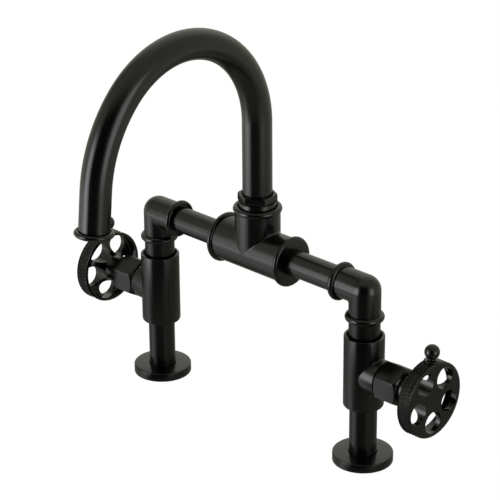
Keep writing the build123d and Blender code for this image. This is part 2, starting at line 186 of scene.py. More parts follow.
def changed(shape, change):
    """The shape after a modifier, which change(object) adds."""
    piece = bpy.data.objects.new("work", mesh_of("work", shape))
    bpy.context.scene.collection.objects.link(piece)
    change(piece)
    done = piece.evaluated_get(bpy.context.evaluated_depsgraph_get()).to_mesh()
    points = [tuple(v.co) for v in done.vertices]
    faces = [tuple(p.vertices) for p in done.polygons]
    bpy.data.objects.remove(piece)
    return points, faces


def combined(shape, tool, operation):
    """Exact Boolean of two shapes."""
    other = bpy.data.objects.new("tool", mesh_of("tool", tool))
    bpy.context.scene.collection.objects.link(other)

    def add(piece):
        step = piece.modifiers.new("combine", "BOOLEAN")
        step.object = other
        step.operation = operation
        step.solver = "EXACT"

    result = changed(shape, add)
    bpy.data.objects.remove(other)
    return result


def softened(shape, amount, sharper_than=30.0):
    """Rounds the edges that turn by more than an angle."""

    def add(piece):
        step = piece.modifiers.new("soften", "BEVEL")
        step.width = amount
        step.segments = 3
        step.limit_method = "ANGLE"
        step.angle_limit = math.radians(sharper_than)

    return changed(shape, add)


TO_X = Matrix.Rotation(math.radians(90), 4, "Y")


def along_x(shape, height=0.0):
    """Turns a shape about Z into one about X, at a height."""
    return moved(shape, Matrix.Translation((0, 0, height)) @ TO_X)


# Materials


def new_material(name, **values):
    """Material with its node tree and its shader, whose inputs take the values."""
    material = bpy.data.materials.new(name)
    material.use_nodes = True
    shader = material.node_tree.nodes["Principled BSDF"]
    for key, value in values.items():
        shader.inputs[key.replace("_", " ")].default_value = value
    return material, material.node_tree, shader


def noise(tree, size_mm, detail=3.0, stretch=(1, 1, 1)):
    """Noise whose grains are about a size in millimetres across."""
    place = tree.nodes.new("ShaderNodeTexCoord")
    mapping = tree.nodes.new("ShaderNodeMapping")
    mapping.inputs["Scale"].default_value = stretch
    texture = tree.nodes.new("ShaderNodeTexNoise")
    texture.inputs["Scale"].default_value = 1 / (size_mm * MM)
    texture.inputs["Detail"].default_value = detail
    tree.links.new(place.outputs["Object"], mapping.inputs["Vector"])
    tree.links.new(mapping.outputs["Vector"], texture.inputs["Vector"])
    return texture.outputs["Fac"]


def ramp(tree, value, dark, light, low=0.35, high=0.65):
    """Colour between a dark and a light one."""
    node = tree.nodes.new("ShaderNodeValToRGB")
    node.color_ramp.elements[0].position = low
    node.color_ramp.elements[0].color = (*dark, 1)
    node.color_ramp.elements[1].position = high
    node.color_ramp.elements[1].color = (*light, 1)
    tree.links.new(value, node.inputs["Fac"])
    return node.outputs["Color"]


def between(tree, value, low, high):
    """Number between a low and a high one, driven by noise."""
    node = tree.nodes.new("ShaderNodeMapRange")
    node.inputs["From Min"].default_value = 0.3
    node.inputs["From Max"].default_value = 0.7
    node.inputs["To Min"].default_value = low
    node.inputs["To Max"].default_value = high
    tree.links.new(value, node.inputs["Value"])
    return node.outputs["Result"]


def roughened(tree, shader, value, depth_mm, strength):
    """Small bumps from a height value."""
    node = tree.nodes.new("ShaderNodeBump")
    node.inputs["Strength"].default_value = strength
    node.inputs["Distance"].default_value = depth_mm * MM
    tree.links.new(value, node.inputs["Height"])
    tree.links.new(node.outputs["Normal"], shader.inputs["Normal"])


def black_coat(name, smooth, rough):
    """Satin black finish: even, with a faint cloudiness and a very fine orange peel."""
    material, tree, shader = new_material(name, Metallic=0.0, IOR=1.5)
    cloud = noise(tree, 14.0, 2.0)
    colour = ramp(tree, cloud, (0.0005, 0.0007, 0.0006), (0.0010, 0.0012, 0.0010))
    tree.links.new(colour, shader.inputs["Base Color"])
    grain = noise(tree, 1.1, 4.0)
    tree.links.new(between(tree, grain, smooth, rough), shader.inputs["Roughness"])
    roughened(tree, shader, noise(tree, 0.7, 2.0), 0.012, 0.25)
    return material


def machined(name, dark, light, roughness):
    """Bare turned metal with fine rings of tool marks and light tarnish."""
    material, tree, shader = new_material(name, Metallic=1.0, Roughness=roughness)
    tree.links.new(ramp(tree, noise(tree, 6.0), dark, light), shader.inputs["Base Color"])
    marks = noise(tree, 0.5, 2.0, (1, 1, 9))
    tree.links.new(between(tree, marks, roughness, roughness + 0.16), shader.inputs["Roughness"])
    roughened(tree, shader, marks, 0.02, 0.3)
    return material


def moulded(name, dark, light, roughness, grain_mm):
    """Rubber, plastic or ceramic with a fine grain."""
    material, tree, shader = new_material(name, Metallic=0.0)
    tree.links.new(ramp(tree, noise(tree, 8.0), dark, light), shader.inputs["Base Color"])
    grain = noise(tree, grain_mm, 2.0)
    tree.links.new(between(tree, grain, roughness, roughness + 0.12), shader.inputs["Roughness"])
    roughened(tree, shader, grain, 0.02, 0.2)
    return material


MATERIALS = {
    "black_metal": black_coat("satin_black", 0.19, 0.24),
    "black_knurled": black_coat("satin_black_rim", 0.10, 0.14),
    "raw_brass": machined("turned_brass", (0.42, 0.29, 0.10), (0.62, 0.46, 0.20), 0.28),
    "steel": machined("plain_steel", (0.42, 0.42, 0.41), (0.58, 0.58, 0.57), 0.30),
    "black_rubber": moulded("black_rubber", (0.012, 0.012, 0.012), (0.022, 0.022, 0.021), 0.62, 0.8),
    "ceramic": moulded("white_ceramic", (0.72, 0.71, 0.67), (0.80, 0.79, 0.76), 0.16, 1.5),
    "white_plastic": moulded("white_plastic", (0.70, 0.70, 0.68), (0.78, 0.78, 0.77), 0.38, 1.0),
    "aerator_plastic": moulded("aerator_plastic", (0.014, 0.014, 0.015), (0.024, 0.024, 0.026), 0.42, 0.6),
}

for part in frame["record"]["subparts"]:
    for slot in frame["nodes"][part["node"]].material_slots:
        slot.material = MATERIALS[part["material_slot"]]


def add_piece(name, shape, slot, body, node):
    """Makes a piece of the object that rides on a body and stands for a CAD node."""
    mesh = mesh_of(name, shape)
    mesh.transform(Matrix.Scale(MM, 4))
    mesh.shade_smooth()
    mesh.set_sharp_from_angle(angle=math.radians(SHARP_ANGLE))
    mesh.materials.append(MATERIALS[slot])
    piece = bpy.data.objects.new(name, mesh)
    bpy.context.scene.collection.objects.link(piece)
    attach(piece, body)
    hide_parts(node)


# Turned and cast pieces. Each column is shaped about its inlet's axis, with the handle towards +X.


def in_column(shape, sign):
    """Moves a shape from the inlet's axis to the left or right column."""
    points, faces = shape
    return [(sign * (HALF + x), y, z) for x, y, z in points], faces


def add_pair(node, shape, slot, moving=False):
    """Makes a piece for both columns, which stands for the node of the same name."""
    for side, sign in (("left", -1), ("right", 1)):
        body = f"{side}_handle" if moving else "frame"
        name = f"{side}_{node}"
        add_piece(f"{name}_look", in_column(shape, sign), slot, body, name)


def bead(outer, minor, middle):
    """Half-round bead about Z, as a closed outline that reaches inside its neighbours."""
    rim = arc(outer - minor, middle, minor, -90, 90, 16)
    return [*rim, (outer - 2 * minor, middle + minor), (outer - 2 * minor, middle - minor)]


def deck_flange():
    """Round plate on the deck, with a rounded upper rim."""
    low, high = span("right_deck_flange", 2)
    outer = width("right_deck_flange", 0) / 2
    bore = width("right_leg", 0) / 2 + PLAY
    return turned(rounded([
        (outer, low, 0.3), (outer, high, 0.7), (bore + 0.5, high, 0), (bore, high - 0.5, 0),
        (bore, low, 0)]), 160)


# Valve body
BODY_R = width("right_valve_body", 1) / 2
BODY_BOTTOM, BODY_TOP = span("right_valve_body", 2)
BODY_BOTTOM_ROUND = 2.0
BODY_RECESS_R = 12.6
BODY_RECESS_DEPTH = 3.5
BODY_SOCKET_R = 9.85
BODY_NIPPLE_R = 11.15
NIPPLE_SEAT_Z = 86.0
BOSS_R = 13.0
BOSS_END = span("right_cartridge_bonnet", 0)[1] - HALF - PLAY
BOSS_FILLET = 0.9
BOSS_FILLET_STEPS = 6
BOSS_BORE_R = 9.0
BOSS_BORE_END = 4.0
BOSS_RIM = 0.4


def boss():
    """Side boss that runs into the sleeve with a small fillet, as a ball rolling in the corner leaves it."""
    path_r, sleeve_r = BOSS_R + BOSS_FILLET, BODY_R + BOSS_FILLET
    rings = []
    turns = round_turns(SIDES)
    for k in range(BOSS_FILLET_STEPS + 1):
        ring = []
        for t in turns:
            y, z = path_r * math.sin(t), path_r * math.cos(t)
            x = math.sqrt(sleeve_r ** 2 - y ** 2)
            ball = Vector((x, y, z))
            on_sleeve = Vector((x * BODY_R / sleeve_r, y * BODY_R / sleeve_r, z)) - ball
            on_boss = Vector((x, BOSS_R * math.sin(t), BOSS_R * math.cos(t))) - ball
            ring.append(ball + on_sleeve.slerp(on_boss, k / BOSS_FILLET_STEPS) * BOSS_FILLET * FILLET_BITE)
        rings.append(ring)
    rim = [(BOSS_R, BOSS_END - BOSS_RIM), (BOSS_R - 0.3 * BOSS_RIM, BOSS_END - 0.25 * BOSS_RIM),
           (BOSS_R - BOSS_RIM, BOSS_END)]
    for radius, x in (*rim, (BOSS_BORE_R, BOSS_END), (BOSS_BORE_R, BOSS_BORE_END)):
        rings.append([Vector((x, radius * math.sin(t), radius * math.cos(t))) for t in turns])
    return moved(grid(rings, wrap_rows=True), Matrix.Translation((0, 0, HANDLE_Z)))


def valve_body():
    """Sleeve with a recess round the nipple and a stepped bore, and its side boss."""
    recess = BODY_TOP - BODY_RECESS_DEPTH
    sleeve = turned(rounded([
        (BODY_SOCKET_R, BODY_BOTTOM, 0.3), (BODY_R, BODY_BOTTOM, BODY_BOTTOM_ROUND),
        (BODY_R, BODY_TOP, 0.7), (BODY_RECESS_R, BODY_TOP, 0.3), (BODY_RECESS_R, recess, 0),
        (BODY_NIPPLE_R, recess, 0), (BODY_NIPPLE_R, NIPPLE_SEAT_Z, 0),
        (BODY_SOCKET_R, NIPPLE_SEAT_Z, 0)]), 160)
    return joined(sleeve, boss())


# Elbow
ELBOW_R = 11.3
ELBOW_FILLET = 2.2
ELBOW_BEAD_R = 13.9
ELBOW_BEAD_MINOR = 2.5
ELBOW_FOOT = span("right_elbow", 2)[0] - BRIDGE_Z
ELBOW_REACH = HALF - span("right_elbow", 0)[0]
ELBOW_RECESS_R = 12.2
ELBOW_RECESS_DEPTH = 2.6
ELBOW_INNER_R = 10.3
ELBOW_STEPS = 14


def elbow_skin():
    """Two pipes at a right angle with a ball corner outside and a fillet inside, as one net."""
    shares = [k / ELBOW_STEPS for k in range(ELBOW_STEPS + 1)]
    path_r = ELBOW_R + ELBOW_FILLET
    floor = ELBOW_RECESS_DEPTH + 0.02 - ELBOW_REACH
    columns = []
    for t in round_turns(SIDES):
        x, y = ELBOW_R * math.cos(t), ELBOW_R * math.sin(t)
        column = [(0, 0, ELBOW_FOOT), (x, y, ELBOW_FOOT)]
        if x >= 0:
            bends = [math.pi / 2 * share for share in shares]
            bend = [(x * math.cos(u), y, x * math.sin(u)) for u in bends]
        else:
            ball = Vector((path_r * math.cos(t), path_r * math.sin(t), path_r * math.cos(t)))
            upright = Vector((x, y, ball.z)) - ball
            level = Vector((ball.x, y, x)) - ball
            bend = [tuple(ball + upright.slerp(level, share) * ELBOW_FILLET) for share in shares]
        columns.append([*column, *bend, (floor, y, x), (floor, 0, 0)])
    return grid(list(zip(*columns)))


def elbow():
    """Elbow with a bead round its foot and a beaded mouth for the bridge tube."""
    foot_bead = turned(bead(ELBOW_BEAD_R, ELBOW_BEAD_MINOR, ELBOW_FOOT + ELBOW_BEAD_MINOR))
    core = ELBOW_BEAD_R - ELBOW_BEAD_MINOR
    lip = -math.degrees(math.acos((ELBOW_RECESS_R + 0.1 - core) / ELBOW_BEAD_MINOR))
    rim = arc(core, ELBOW_BEAD_MINOR - ELBOW_REACH, ELBOW_BEAD_MINOR, lip, 90, 16)
    floor = ELBOW_RECESS_DEPTH - ELBOW_REACH
    side_bead = turned([(ELBOW_RECESS_R, rim[0][1] + 0.2), *rim, (ELBOW_INNER_R, rim[-1][1]),
                        (ELBOW_INNER_R, floor), (ELBOW_RECESS_R, floor)])
    shape = joined(elbow_skin(), foot_bead, moved(side_bead, TO_X))
    return moved(shape, Matrix.Translation((0, 0, BRIDGE_Z)))


# Tee
TEE_R = 16.35
TEE_FILLET = 1.3
TEE_FILLET_STEPS = 6
TEE_FILLET_TURNS = 96
TEE_FILLET_ROOT = 0.6
TEE_HALF = width("tee", 0) / 2
TEE_TOP = span("tee", 2)[1]
TEE_BEAD_R = width("tee", 1) / 2
TEE_BEAD_MINOR = 2.1
TEE_BORE_R = 9.575
TEE_TOP_BEAD_R = 17.6
TEE_TOP_BEAD_MINOR = 2.4
TEE_TOP_RECESS_R = 14.5
TEE_TOP_RECESS_DEPTH = 3.4
SPOUT_BORE_R = 12.6


def beaded_end(radius, bead_r, minor, end):
    """Outline of a pipe's end with a half-round bead, up to a height."""
    reach = math.sqrt(minor ** 2 - (radius - bead_r + minor) ** 2)
    start = math.degrees(math.asin(-reach / minor))
    return arc(bead_r - minor, end - minor, minor, start, 90, 14)


def tee_fillet(sign):
    """Fillet in the corner between barrel and branch: the path of a ball that rolls along the corner."""
    path_r = TEE_R + TEE_FILLET
    shares = [k / TEE_FILLET_STEPS for k in range(TEE_FILLET_STEPS + 1)]
    rows = []
    for j in range(TEE_FILLET_TURNS + 1):
        t = math.radians(-90 + 180 * j / TEE_FILLET_TURNS)
        c, s = math.cos(t), math.sin(t)
        ball = Vector((path_r * c, path_r * s, path_r * c))
        barrel = Vector((ball.x, TEE_R * s, TEE_R * c)) - ball
        branch = Vector((TEE_R * c, TEE_R * s, ball.z)) - ball
        if c > 1e-6:
            row = [ball + barrel.slerp(branch, share) * TEE_FILLET * FILLET_BITE for share in shares]
        else:
            row = [Vector((0, TEE_R * s, 0))] * len(shares)
        root = TEE_R * c - TEE_FILLET_ROOT
        row.append(Vector((root, (TEE_R - TEE_FILLET_ROOT) * s, root)))
        rows.append([(sign * p.x, p.y, p.z) for p in row])
    return grid(rows)


def tee():
    """Barrel with two beaded ends, and a branch with a beaded and recessed top."""
    end = [*beaded_end(TEE_R, TEE_BEAD_R, TEE_BEAD_MINOR, TEE_HALF),
           (TEE_BORE_R + EDGE_BREAK, TEE_HALF), (TEE_BORE_R, TEE_HALF - EDGE_BREAK)]
    barrel = moved(turned([*end, *((r, -z) for r, z in reversed(end))], 160), TO_X)
    top = TEE_TOP - BRIDGE_Z
    floor = top - TEE_TOP_RECESS_DEPTH
    branch = turned([
        (TEE_R, 0.0), *beaded_end(TEE_R, TEE_TOP_BEAD_R, TEE_TOP_BEAD_MINOR, top),
        (TEE_TOP_RECESS_R + EDGE_BREAK, top), (TEE_TOP_RECESS_R, top - EDGE_BREAK),
        (TEE_TOP_RECESS_R, floor), (SPOUT_BORE_R, floor), (SPOUT_BORE_R, 0.0)], 160)
    shape = joined(barrel, branch, tee_fillet(1), tee_fillet(-1))
    return moved(shape, Matrix.Translation((0, 0, BRIDGE_Z)))


# Nuts and hexagons
SPOUT_R = width("spout_tube", 0) / 2
NUT_TOP = span("spout_nut", 2)[1]
NUT_CORNER_R = 14.3
NUT_TURN = 5.0
NUT_SEAT = TEE_TOP - TEE_TOP_RECESS_DEPTH
NUT_HEX_HEIGHT = 5.8
NUT_HEX = NUT_TOP - NUT_HEX_HEIGHT
NUT_CHAMFER = 0.6
NUT_CHAMFER_HEIGHT = 1.3
NUT_BORE_PLAY = 0.06
NUT_COLLAR_R = 13.6
NUT_RECESS_R = 11.4
NUT_RECESS_DEPTH = 3.0
HEX_HALF = 30.0


def spout_nut():
    """Hexagon with a turned chamfer and a recess round the tube, on a round collar."""
    bore, wide = SPOUT_R + NUT_BORE_PLAY, NUT_CORNER_R + 0.7
    bar = prism(NUT_CORNER_R, NUT_HEX, NUT_TOP, HEX_HALF + NUT_TURN)
    blank = turned([
        (NUT_RECESS_R, NUT_TOP - NUT_RECESS_DEPTH), (NUT_RECESS_R, NUT_TOP),
        (NUT_CORNER_R - NUT_CHAMFER, NUT_TOP), (wide, NUT_TOP - NUT_CHAMFER_HEIGHT), (wide, NUT_HEX),
        (bore, NUT_HEX), (bore, NUT_TOP - NUT_RECESS_DEPTH)], 96)
    foot, head = NUT_SEAT - OVERLAP, NUT_HEX + 0.02
    collar = turned(rounded([
        (bore, foot, 0), (NUT_COLLAR_R, foot, 0), (NUT_COLLAR_R, head, 0.2), (bore, head, 0)]), 96)
    return joined(softened(combined(bar, blank, "INTERSECT"), 0.22), collar)


HUB_START = span("right_handle_hub", 0)[0] - HALF
HUB_CORNER_R = width("right_handle_hub", 2) / 2
HUB_HEX_LENGTH = 20.2
HUB_END_R = 12.1
HUB_END_CHAMFER = 2.4
HUB_NECK_R = 10.4
HUB_SPIGOT_R = 6.9
HUB_END = span("right_handle_hub", 0)[1] - HALF
HUB_SEAT = span("right_handle_wheel", 0)[0] - HALF
STEM_R = 4.05
SCREW_X = middle("right_set_screw", 0) - HALF
SCREW_R = 2.05


def handle_hub():
    """Chamfered hexagon with a set-screw hole in its rear flat, and a round neck with a spigot."""
    hex_end = HUB_START + HUB_HEX_LENGTH
    wide = HUB_CORNER_R + 0.6
    slope = HUB_END_CHAMFER * (wide - HUB_END_R) / (HUB_CORNER_R - HUB_END_R)
    bar = prism(HUB_CORNER_R, HUB_START, hex_end)
    blank = turned([(STEM_R, HUB_START), (HUB_END_R, HUB_START), (wide, HUB_START + slope),
                    (wide, hex_end - slope), (HUB_END_R, hex_end), (STEM_R, hex_end)], 96)
    drill = turned([(0, STEM_R - 0.5), (SCREW_R, STEM_R - 0.5), (SCREW_R, wide), (0, wide)], 32)
    to_back_flat = Matrix.Translation((0, 0, SCREW_X)) @ Matrix.Rotation(math.radians(-90), 4, "X")
    hexagon = combined(combined(bar, blank, "INTERSECT"), moved(drill, to_back_flat), "DIFFERENCE")
    hexagon = softened(hexagon, 0.25)
    neck = turned(rounded([
        (HUB_SPIGOT_R, HUB_SEAT - OVERLAP, 0), (HUB_SPIGOT_R, HUB_END, 0.3), (STEM_R, HUB_END, 0),
        (STEM_R, hex_end - OVERLAP, 0), (HUB_NECK_R, hex_end - OVERLAP, 0), (HUB_NECK_R, HUB_SEAT, 0.3)]))
    return along_x(joined(hexagon, neck), HANDLE_Z)


# Wheel
WHEEL_R = width("right_handle_wheel", 1) / 2
WHEEL_FRONT = span("right_handle_wheel", 0)[1] - HALF
WHEEL_WIDTH = 10.1
WHEEL_RIM = 2.6
WHEEL_WEB = 3.9
WHEEL_WEB_R = 20.5
WHEEL_FLARE_R = 13.5
WHEEL_FLARE = 6.8
WHEEL_HOLES = 5
WHEEL_HOLE_R = 8.0
WHEEL_HOLE_CIRCLE_R = 16.9
WHEEL_TURN = math.radians(2.8)
WHEEL_SEAM_R = 25.3
WHEEL_CORNER = 0.9
KNURL_TEETH = 64
KNURL_PITCH = 2.4
KNURL_DEPTH = 0.9
KNURL_LAND = 0.55
KNURL_COLUMNS = 8
KNURL_ROWS = 42
RIM_EDGE = 0.55
RIM_EDGE_SIDE = 0.22
RIM_EDGE_FACE = 0.18
RIM_FACE_STEP = 0.001


def curve_through(first, middle, last, steps=20):
    """Points of the circle through three points, from the first to the last."""
    a, b, c = (Vector(p) for p in (first, middle, last))
    d = 2 * ((b - a).x * (c - a).y - (b - a).y * (c - a).x)
    bb, cc = (b - a).length_squared, (c - a).length_squared
    centre = a + Vector(((c - a).y * bb - (b - a).y * cc, (b - a).x * cc - (c - a).x * bb)) / d
    start = math.atan2(*(a - centre).yx)
    middle_turn = (math.atan2(*(b - centre).yx) - start + math.pi) % (2 * math.pi) - math.pi
    turn = (math.atan2(*(c - centre).yx) - start) % (2 * math.pi)
    if middle_turn < 0:
        turn -= 2 * math.pi
    radius = (a - centre).length
    return [(centre.x + radius * math.cos(start + turn * k / steps),
             centre.y + radius * math.sin(start + turn * k / steps)) for k in range(steps + 1)]


def wheel_web():
    """Dished web with five round holes whose rims are broken by a small chamfer."""
    back, web = WHEEL_FRONT - WHEEL_WIDTH, WHEEL_FRONT - WHEEL_WEB
    rim_in = WHEEL_R - WHEEL_RIM
    waist = (WHEEL_FLARE_R, WHEEL_FRONT - WHEEL_FLARE)
    flare = curve_through((HUB_NECK_R, HUB_SEAT), waist, (WHEEL_WEB_R, web))
    socket_r = HUB_SPIGOT_R + PLAY
    blank = turned([
        *flare, (rim_in - WHEEL_CORNER, web - EDGE_BREAK), (rim_in - EDGE_BREAK, web - WHEEL_CORNER),
        (rim_in, back), (WHEEL_SEAM_R, back), (WHEEL_SEAM_R, WHEEL_FRONT), (0, WHEEL_FRONT),
        (0, HUB_END), (socket_r, HUB_END), (socket_r, HUB_SEAT)], 200)
    behind = HUB_SEAT - 5 * OVERLAP
    drill = turned([(0, behind), (WHEEL_HOLE_R, behind), (WHEEL_HOLE_R, WHEEL_FRONT - EDGE_BREAK),
                    (WHEEL_HOLE_R + 2 * EDGE_BREAK, WHEEL_FRONT + EDGE_BREAK),
                    (0, WHEEL_FRONT + EDGE_BREAK)], 72)
    for hole in range(WHEEL_HOLES):
        turn = Matrix.Rotation(2 * math.pi * hole / WHEEL_HOLES - WHEEL_TURN, 4, "Z")
        place = turn @ Matrix.Translation((WHEEL_HOLE_CIRCLE_R, 0, 0))
        blank = combined(blank, moved(drill, place), "DIFFERENCE")
    return blank


def knurled_rim():
    """Outer band of the wheel with a diamond knurl cut between two plain lands."""
    back = WHEEL_FRONT - WHEEL_WIDTH
    low, high = back + KNURL_LAND, WHEEL_FRONT - KNURL_LAND
    columns = KNURL_TEETH * KNURL_COLUMNS
    inner_r, edge_r, side_r = WHEEL_SEAM_R - PLAY, WHEEL_R - RIM_EDGE, WHEEL_R - RIM_EDGE_SIDE
    rows = [[place] * columns for place in (
        (inner_r, WHEEL_FRONT - RIM_FACE_STEP), (edge_r, WHEEL_FRONT), (side_r, WHEEL_FRONT - RIM_EDGE_FACE))]
    for i in range(KNURL_ROWS + 1):
        x = high + (low - high) * i / KNURL_ROWS
        along = (x - low) / KNURL_PITCH
        row = []
        for j in range(columns):
            turn = j / KNURL_COLUMNS
            first = abs((turn + along) % 1 - 0.5)
            second = abs((turn - along) % 1 - 0.5)
            row.append((WHEEL_R - 2 * KNURL_DEPTH * max(first, second), x))
        rows.append(row)
    rows += [[place] * columns for place in (
        (side_r, back + RIM_EDGE_FACE), (edge_r, back), (inner_r, back + RIM_FACE_STEP))]
    turns = round_turns(columns)
    rings = [[(r * math.cos(t), r * math.sin(t), x) for (r, x), t in zip(row, turns)] for row in rows]
    return grid(rings, wrap_rows=True)


# Knob
KNOB_X = middle("right_wheel_knob", 0) - HALF
KNOB_BALL_HEIGHT = 6.9
KNOB_BALL_R = 5.35
KNOB_COLLAR_R = 5.4
KNOB_COLLAR = 1.3
KNOB_COLLAR_ROUND = 0.55
KNOB_COLLAR_SINK = 1.2
KNOB_NECK_R = 2.6
KNOB_NECK_ROUND = 0.7
KNOB_PEG_R = 1.5
KNOB_PEG_SINK = 2.0


def wheel_knob():
    """Ball finial: a ball on a waisted neck and a round-edged collar."""
    ball_z = WHEEL_R + KNOB_BALL_HEIGHT
    top = WHEEL_R + KNOB_COLLAR
    waist = math.degrees(math.asin(KNOB_NECK_R / KNOB_BALL_R)) - 90
    peg, foot = WHEEL_R - KNOB_PEG_SINK, WHEEL_R - KNOB_COLLAR_SINK
    outline = [
        (0, peg), (KNOB_PEG_R, peg), (KNOB_PEG_R, foot), (KNOB_COLLAR_R - 0.3, foot),
        *arc(KNOB_COLLAR_R - KNOB_COLLAR_ROUND, top - KNOB_COLLAR_ROUND, KNOB_COLLAR_ROUND, -30, 90, 8),
        *arc(KNOB_NECK_R + KNOB_NECK_ROUND, top + KNOB_NECK_ROUND, KNOB_NECK_ROUND, -90, -180, 6),
        *arc(0, ball_z, KNOB_BALL_R, waist, 90, 40)]
    lean = Matrix.Rotation(-WHEEL_TURN, 4, "X")
    place = Matrix.Translation((KNOB_X, 0, HANDLE_Z)) @ lean
    return moved(turned(outline, 72), place)


# Threaded pieces below the deck
SHANK_R = width("right_supply_shank", 0) / 2
SHANK_BOTTOM = span("right_supply_shank", 2)[0]
SHANK_THREAD = 40.0
SHANK_TAIL_R = 9.9
SHANK_BORE_R = 5.5
SHANK_TOP = 20.0
SHANK_TOP_R = 7.55
SHANK_SIDES = 64
THREAD_PITCH = 1.814
THREAD_DEPTH = 0.95
THREAD_RUNOUT = 1.2
THREAD_ROWS = 8


def helix_rows(radius, low, high):
    """Rings of a right-hand thread between two heights, run out into a chamfer at both ends."""
    count = int((high - low) / THREAD_PITCH * THREAD_ROWS)
    turns = round_turns(SHANK_SIDES)
    rows = []
    for i in range(count + 1):
        z = low + (high - low) * i / count
        cut = max(0.0, 1 - (z - low) / THREAD_RUNOUT, 1 - (high - z) / THREAD_RUNOUT)
        row = []
        for j, t in enumerate(turns):
            phase = (z / THREAD_PITCH - j / SHANK_SIDES) % 1
            groove = THREAD_DEPTH * abs(2 * phase - 1)
            r = radius - max(groove, THREAD_DEPTH * cut)
            row.append((r * math.cos(t), r * math.sin(t), z))
        rows.append(row)
    return rows


def supply_shank():
    """Bored shank: a threaded tail, a wider thread up to the deck and a plain top in the leg."""
    turns = round_turns(SHANK_SIDES)

    def ring(radius, z):
        return [(radius * math.cos(t), radius * math.sin(t), z) for t in turns]

    tail = helix_rows(SHANK_TAIL_R, SHANK_BOTTOM, -SHANK_THREAD)
    thread = helix_rows(SHANK_R, -SHANK_THREAD + 0.01, -0.2)
    rows = [ring(SHANK_BORE_R, SHANK_BOTTOM), *tail, *thread, ring(SHANK_TOP_R, -0.1),
            ring(SHANK_TOP_R, SHANK_TOP), ring(SHANK_BORE_R, SHANK_TOP)]
    return grid(rows, wrap_rows=True)


MOUNTING_LOW, MOUNTING_HIGH = span("right_mounting_nut", 2)


def mounting_nut():
    """Hexagon nut with both faces chamfered, outside and at the bore."""
    corner = width("right_mounting_nut", 0) / 2
    flat = width("right_mounting_nut", 1) / 2
    bar = prism(corner, MOUNTING_LOW, MOUNTING_HIGH)
    wide, face_r = corner + 0.5, flat - 0.3
    slope = (wide - flat) * 0.5
    bore, mouth = SHANK_R + PLAY, SHANK_R + NUT_CHAMFER
    blank = turned([
        (mouth, MOUNTING_LOW), (face_r, MOUNTING_LOW), (wide, MOUNTING_LOW + slope),
        (wide, MOUNTING_HIGH - slope), (face_r, MOUNTING_HIGH), (mouth, MOUNTING_HIGH),
        (bore, MOUNTING_HIGH - NUT_CHAMFER), (bore, MOUNTING_LOW + NUT_CHAMFER)], 96)
    return softened(combined(bar, blank, "INTERSECT"), 0.15)


# Spout
SPOUT_WALL = 1.1
SPOUT_FOOT = span("spout_tube", 2)[0]
SPOUT_BEND_Z = 228.3
SPOUT_BEND_R = 72.8
SPOUT_BEND = math.radians(135.1)
SPOUT_EASE_R = 95.8
SPOUT_EASE = math.radians(39.3)
SPOUT_SEAT_DROP = 0.4
SPOUT_SIDES = 112
OUTLET = Vector((middle("outlet_ring", 1), middle("outlet_ring", 2)))


def bend_places(start, radius, turned_by, angle, step=2.0):
    """Centre points and turns (y, z, turn) along a bend that goes on from a point and a turn."""
    y, z = start
    centre_y = y - radius * math.cos(turned_by)
    centre_z = z - radius * math.sin(turned_by)
    count = round(math.degrees(angle) / step)
    turns = [turned_by + angle * k / count for k in range(1, count + 1)]
    return [(centre_y + radius * math.cos(t), centre_z + radius * math.sin(t), t) for t in turns]


def spout_line():
    """Centre points and turns of riser, main bend, easing bend and the leaning straight end."""
    places = [(0.0, SPOUT_FOOT, 0.0), (0.0, SPOUT_BEND_Z, 0.0)]
    places += bend_places(places[-1][:2], SPOUT_BEND_R, 0.0, SPOUT_BEND)
    places += bend_places(places[-1][:2], SPOUT_EASE_R, SPOUT_BEND, SPOUT_EASE)
    turn = places[-1][2]
    end = OUTLET + SPOUT_SEAT_DROP * Vector((-math.sin(turn), math.cos(turn)))
    return [*places, (end.x, end.y, turn)]


def spout_tube():
    """Bent tube along the spout's line, with its wall."""
    turns = round_turns(SPOUT_SIDES)

    def ring(place, radius):
        y, z, turn = place
        across = Vector((0, math.cos(turn), math.sin(turn))) * radius
        sideways = Vector((radius, 0, 0))
        return [Vector((0, y, z)) + sideways * math.cos(a) - across * math.sin(a) for a in turns]

    line = spout_line()
    outer = [ring(place, SPOUT_R) for place in line]
    inner = [ring(place, SPOUT_R - SPOUT_WALL) for place in reversed(line)]
    return grid([*outer, *inner], wrap_rows=True)


OUTLET_RING_MINOR = 2.0
OUTLET_RECESS = 0.8
AERATOR_SEAT_R = 9.95


def outlet_ring():
    """Half-round ring about the end of the tube, with a small recess round the tube."""
    outer, minor = width("outlet_ring", 0) / 2, OUTLET_RING_MINOR
    socket_r, floor = SPOUT_R + PLAY, minor - OUTLET_RECESS
    outline = [*arc(outer - minor, 0, minor, -90, 90, 16), (SPOUT_R + 1.0, minor), (SPOUT_R + 0.9, floor),
               (socket_r, floor), (socket_r, -SPOUT_SEAT_DROP), (AERATOR_SEAT_R, -SPOUT_SEAT_DROP),
               (AERATOR_SEAT_R, EDGE_BREAK - minor), (AERATOR_SEAT_R + EDGE_BREAK, -minor)]
    lean = Matrix.Rotation(SPOUT_BEND + SPOUT_EASE - math.pi, 4, "X")
    return moved(turned(outline, 144), Matrix.Translation((0, *OUTLET)) @ lean)


